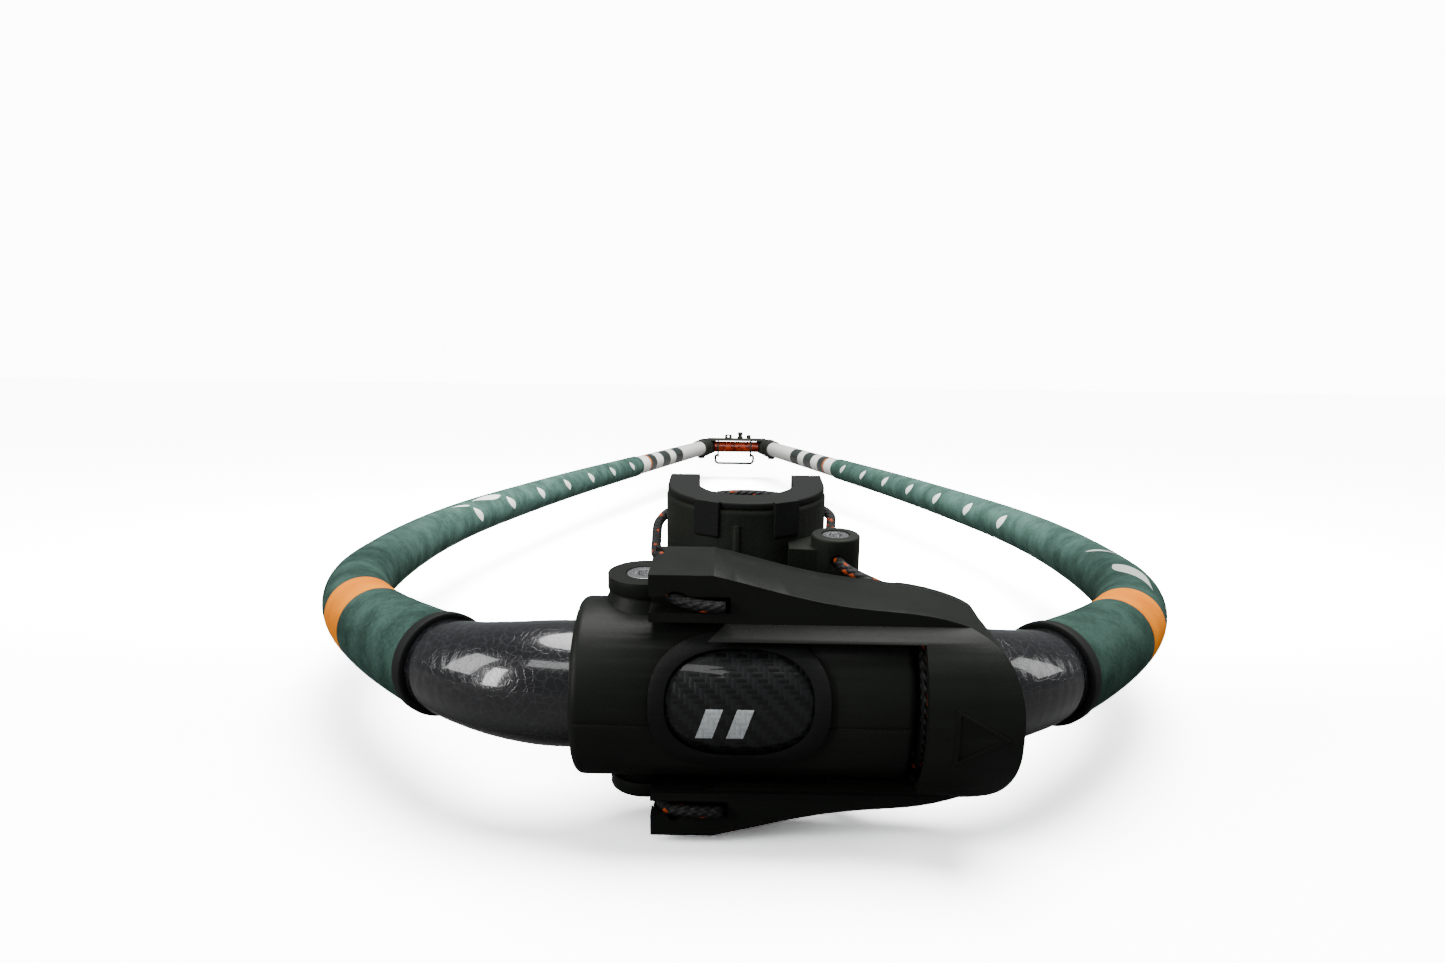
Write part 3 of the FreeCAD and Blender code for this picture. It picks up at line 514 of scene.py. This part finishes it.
def makeBars():
    shown = bars["armShown"]
    tube = barShell("frontTube", materials["carbonTube"], -shown, shown, tubeOuter,
                    lambda s: tubeOuter(s) - bars["wall"], 5.0, around=96, edge=0.3)
    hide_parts("front_tube")
    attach(tube, "frame")
    # each cover's start, end, finish, slot, rounded edge and rise over the grip's radius
    covers = {
        "grip_front": (bars["gripStart"], bars["bandStart"], "foam", "grip_foam", 0.6, 0.0),
        "grip_band": (bars["bandStart"], bars["bandEnd"], "bandFoam", "accent_foam", 0.3, 0.0),
        "grip_rear": (bars["bandEnd"], bars["gripEnd"], "foam", "grip_foam", 0.8, 0.0),
        "grip_ring": (bars["gripStart"] - bars["ringLength"], bars["gripStart"], "rubber", "black_rubber", 0.8,
                      bars["ringRise"]),
    }
    for name, (start, end, finish, slotName, edge, rise) in covers.items():
        for suffix, sign in sides:
            first, last = signedSpan(sign, start, end)
            dye = camel(finish + suffix) if finish == "foam" else finish
            piece = barShell(camel(name + suffix), materials[dye], first, last,
                             lambda s: radiusAt(gripRadii, s) + rise, tubeOuter, 6.0, edge=edge)
            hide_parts(name + suffix)
            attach(piece, "frame")
    mouth = bars["armEnd"]
    for suffix, sign in sides:
        first, last = signedSpan(sign, shown, mouth)
        arm = barShell(camel("rear_arm" + suffix), materials["paintedArm"], first, last,
                       lambda s: bars["armRadius"], lambda s: bars["armRadius"] - bars["armWall"], 12.0)
        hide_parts("rear_arm" + suffix)
        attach(arm, "frame")
        first, last = signedSpan(sign, mouth - bars["legInsert"], mouth + bars["legTail"])
        leg = barShell(camel("tail_leg" + suffix), materials["greyPlastic"], first, last,
                       lambda s: bars["legRadius"], lambda s: bars["legRadius"] - bars["wall"], 3.0, around=48)
        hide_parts("tail_leg" + suffix)
        blendStart, blendEnd = (placeAt(sign * (mouth - back))[0] for back in bars["legBlend"])
        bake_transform(leg)


makeBars()
print("tube, grips, arms and legs made")

# the clamp's lines, as points in the head's frame in millimetres
lines = {
    "mast": [(-9, -26, 45.9), (-26, -26, 45.9), (-37, -13, 51.8), (-37, 10, 52.8), (-38, 26, 51), (-43, 48, 43),
             (-44.8, 76, 40.5), (-46.4, 109, 46), (-19.4, 136, 51), (19.4, 136, 51), (46.4, 109, 49),
             (43.4, 87, 46), (42, 66, 45), (42, 49, 45)],
    "lever": [(42, 47, 45), (42, 31, 45), (53, 19, 42.5), (71.5, 10, 37.4), (71.5, -14, 33), (71.5, -33, 14),
              (71.5, -33, -14), (71.5, -14, -33), (71.5, 10, -37.4), (53, 19, -42.5), (42, 31, -45),
              (42, 47, -45)],
    "radius": 2.5,
    "leastStep": 0.0012,
    "curveSteps": 14,
    # where each line passes from the head to the lever; the lever's own line stays with the head
    "mastBlend": ((-40, 80), (-70, 20)),
    "leverBlend": ((-100, 0), (-140, 0)),
}


def routePoints(name, points):
    # the line's own path, read from a smooth curve through the route
    curve = bpy.data.curves.new(name, "CURVE")
    curve.dimensions = "3D"
    curve.resolution_u = lines["curveSteps"]
    spline = curve.splines.new("NURBS")
    spline.points.add(len(points) - 1)
    for target, point in zip(spline.points, points):
        target.co = (*point, 1)
    spline.order_u = 3
    spline.use_endpoint_u = True
    holder = bpy.data.objects.new(name, curve)
    bpy.context.collection.objects.link(holder)
    mesh = bpy.data.meshes.new_from_object(holder)
    path = [v.co.copy() for v in mesh.vertices]
    bpy.data.objects.remove(holder)
    kept = [path[0]]
    for point in path[1:]:
        if (point - kept[-1]).length > lines["leastStep"]:
            kept.append(point)
    return kept


def ropeTube(name, path, radius, material, around=20):
    rings, along, length = [], [], 0.0
    side = Vector((0, 0, 1))
    for i, point in enumerate(path):
        ahead = (path[min(i + 1, len(path) - 1)] - path[max(i - 1, 0)]).normalized()
        side = (side - ahead * side.dot(ahead)).normalized()
        other = ahead.cross(side)
        length += (point - path[max(i - 1, 0)]).length
        ring = [point + (side * math.cos(a) + other * math.sin(a)) * radius
                for a in (2 * math.pi * k / around for k in range(around))]
        rings.append(ring)
        along.append(length)
    bm = bmesh.new()
    verts = loftRings(bm, rings, along, False)
    bm.faces.new(verts[0])
    bm.faces.new(verts[-1])
    return finishMesh(name, bm, material), length


def makeLines():
    upper, height = lines["mast"], lines["mast"][0][2]
    # each line's node, route, blend and the height of the blend
    routes = {
        "mastLineUpper": ("mast_line_upper", upper, lines["mastBlend"], height),
        "mastLineLower": ("mast_line_lower", [(x, y, -z) for x, y, z in upper], lines["mastBlend"], -height),
        "leverLine": ("lever_line", lines["lever"], lines["leverBlend"], 0),
    }
    for name, (node, points, blend, level) in routes.items():
        path = routePoints(name, [headPoint(*p) for p in points])
        rope, length = ropeTube(name, path, lines["radius"] * mm, materials["braid"])
        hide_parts(node)
        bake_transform(rope)
        print(name, "length", round(length, 4))


makeLines()

studio = {
    "floorGap": 0.004, "ambient": 0.2, "backdrop": 12.5, "sun": 6.2, "sunAngle": 50.0, "sunTilt": (-8.0, 6.0),
    "floorBright": 5.2, "floorDark": 0.10, "floorCorners": ((-60, -10), (60, -10), (60, 120), (-60, 120)),
    # each area light's name, place, aim, width, height and power
    "lights": [
        ("front", (-0.7, -1.5, 1.6), (0.0, -0.05, 0.0), 0.9, 0.45, 5.0),
        ("low", (-1.1, -0.9, 0.35), (-0.2, -0.05, 0.0), 0.2, 0.7, 7.0),
        ("left", (-1.5, -0.5, 0.75), (-0.1, -0.05, 0.0), 0.5, 0.9, 9.0),
        ("rear", (0.0, 0.4, 0.5), (0.0, 1.3, 0.02), 0.6, 0.6, 22.0),
        ("right", (1.6, -0.2, 0.8), (0.1, -0.05, 0.0), 0.5, 0.9, 6.0),
    ],
}


def makeFloor():
    # a flat floor, near white to the camera and dim in reflections
    low = cadBox[0][2] - studio["floorGap"]
    bm = bmesh.new()
    bm.faces.new([bm.verts.new((x, y, low)) for x, y in studio["floorCorners"]])
    material, tree, surface = newMaterial("floor", (0.93, 0.93, 0.93), 0.9, specular=0.0)
    pale = tree.nodes.new("ShaderNodeBsdfDiffuse")
    pale.inputs["Color"].default_value = (*((studio["floorBright"],) * 3), 1)
    dim = tree.nodes.new("ShaderNodeBsdfDiffuse")
    dim.inputs["Color"].default_value = (*((studio["floorDark"],) * 3), 1)
    seen = tree.nodes.new("ShaderNodeMixShader")
    rays = tree.nodes.new("ShaderNodeLightPath")
    tree.links.new(rays.outputs["Is Camera Ray"], seen.inputs[0])
    tree.links.new(dim.outputs[0], seen.inputs[1])
    tree.links.new(pale.outputs[0], seen.inputs[2])
    tree.links.new(seen.outputs[0], tree.nodes["Material Output"].inputs["Surface"])
    finishMesh("floor", bm, material)


def makeWorld():
    world = bpy.data.worlds.new("studio")
    world.use_nodes = True
    tree = world.node_tree
    soft = tree.nodes["Background"]
    soft.inputs["Color"].default_value = (0.93, 0.97, 1, 1)
    soft.inputs["Strength"].default_value = studio["ambient"]
    plain = tree.nodes.new("ShaderNodeBackground")
    plain.inputs["Color"].default_value = (1, 1, 1, 1)
    plain.inputs["Strength"].default_value = studio["backdrop"]
    seen = tree.nodes.new("ShaderNodeMixShader")
    rays = tree.nodes.new("ShaderNodeLightPath")
    tree.links.new(rays.outputs["Is Camera Ray"], seen.inputs[0])
    tree.links.new(soft.outputs[0], seen.inputs[1])
    tree.links.new(plain.outputs[0], seen.inputs[2])
    tree.links.new(seen.outputs[0], tree.nodes["World Output"].inputs["Surface"])
    bpy.context.scene.world = world


def makeLights():
    sun = bpy.data.lights.new("sun", "SUN")
    sun.energy = studio["sun"]
    sun.angle = math.radians(studio["sunAngle"])
    lamp = bpy.data.objects.new("sun", sun)
    lamp.rotation_euler = (math.radians(studio["sunTilt"][0]), math.radians(studio["sunTilt"][1]), 0)
    bpy.context.collection.objects.link(lamp)
    for name, place, target, width, height, power in studio["lights"]:
        light = bpy.data.lights.new(name, "AREA")
        light.shape = "RECTANGLE"
        light.size = width
        light.size_y = height
        light.energy = power
        lamp = bpy.data.objects.new(name, light)
        lamp.location = place
        lamp.rotation_euler = (Vector(target) - Vector(place)).to_track_quat("-Z", "Y").to_euler()
        bpy.context.collection.objects.link(lamp)


view = {"place": (-0.0069, -0.4971, 0.118), "lens": 24.0, "down": 5.74, "left": 0.6, "roll": 0.73}


def makeCamera():
    down, left, roll = (math.radians(view[k]) for k in ("down", "left", "roll"))
    ahead = Vector((-math.sin(left) * math.cos(down), math.cos(left) * math.cos(down), -math.sin(down)))
    level = Vector((math.cos(left), math.sin(left), 0))
    above = level.cross(ahead)
    right = level * math.cos(roll) + above * math.sin(roll)
    up = above * math.cos(roll) - level * math.sin(roll)
    lens = bpy.data.cameras.new("camera")
    lens.lens = view["lens"]
    lens.sensor_width = 36.0
    lens.clip_start = 0.01
    camera = bpy.data.objects.new("camera", lens)
    turn = Matrix((right, up, -ahead)).transposed().to_4x4()
    camera.matrix_world = Matrix.Translation(view["place"]) @ turn
    bpy.context.collection.objects.link(camera)
    bpy.context.scene.camera = camera


makeFloor()
makeWorld()
makeLights()
makeCamera()
print("studio ready")
